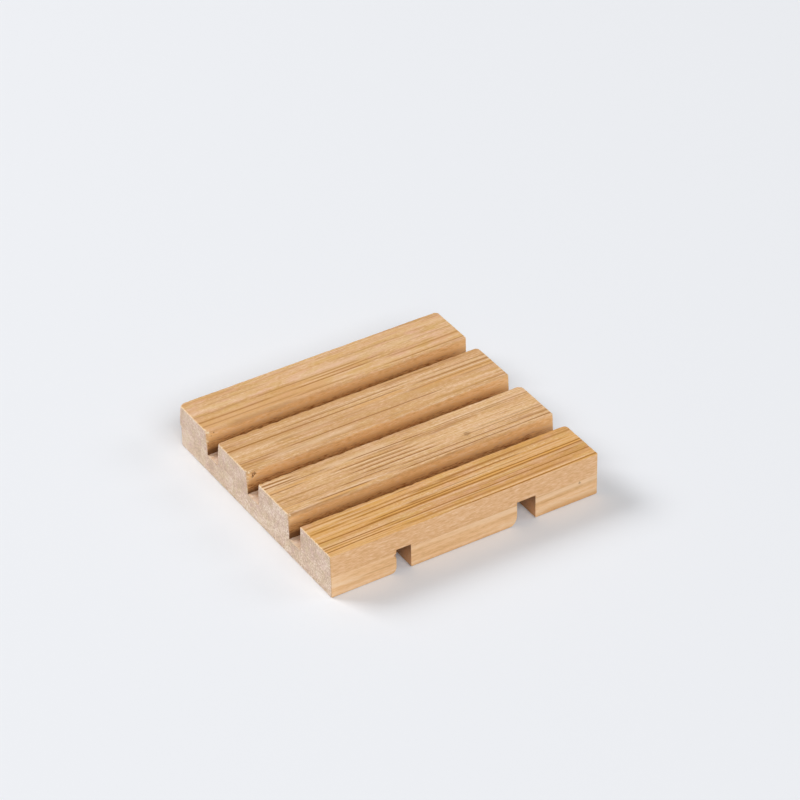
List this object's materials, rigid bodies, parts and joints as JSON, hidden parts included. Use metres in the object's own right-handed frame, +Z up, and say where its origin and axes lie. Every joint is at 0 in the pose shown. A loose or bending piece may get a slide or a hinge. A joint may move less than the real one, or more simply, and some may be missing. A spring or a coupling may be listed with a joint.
{
  "type": "soap dish",
  "caption": "Small flat square soap dish of laminated bamboo, with grooved rails on top, notched feet below and drain holes where they cross.",
  "frame": {"origin": "middle of the dish in plan, on the plane that its feet stand on", "axes": "+X along the rails and the grain, towards the right end as the picture shows it; +Y to the back; +Z up, out of the face that the soap lies on"},
  "size_m": [0.08, 0.078, 0.013],
  "materials": {
    "upper_ply": "satin",
    "lower_ply": "satin"
  },
  "bodies": {
    "root": {"rail_back": "upper_ply", "rail_mid_back": "upper_ply", "rail_mid_front": "upper_ply", "rail_front": "upper_ply", "left_foot_back_strip": "lower_ply", "left_foot_mid_back_strip": "lower_ply", "left_foot_middle_strip": "lower_ply", "left_foot_mid_front_strip": "lower_ply", "left_foot_front_strip": "lower_ply", "middle_foot_back_strip": "lower_ply", "middle_foot_mid_back_strip": "lower_ply", "middle_foot_middle_strip": "lower_ply", "middle_foot_mid_front_strip": "lower_ply", "middle_foot_front_strip": "lower_ply", "right_foot_back_strip": "lower_ply", "right_foot_mid_back_strip": "lower_ply", "right_foot_middle_strip": "lower_ply", "right_foot_mid_front_strip": "lower_ply", "right_foot_front_strip": "lower_ply"}
  },
  "joints": []
}
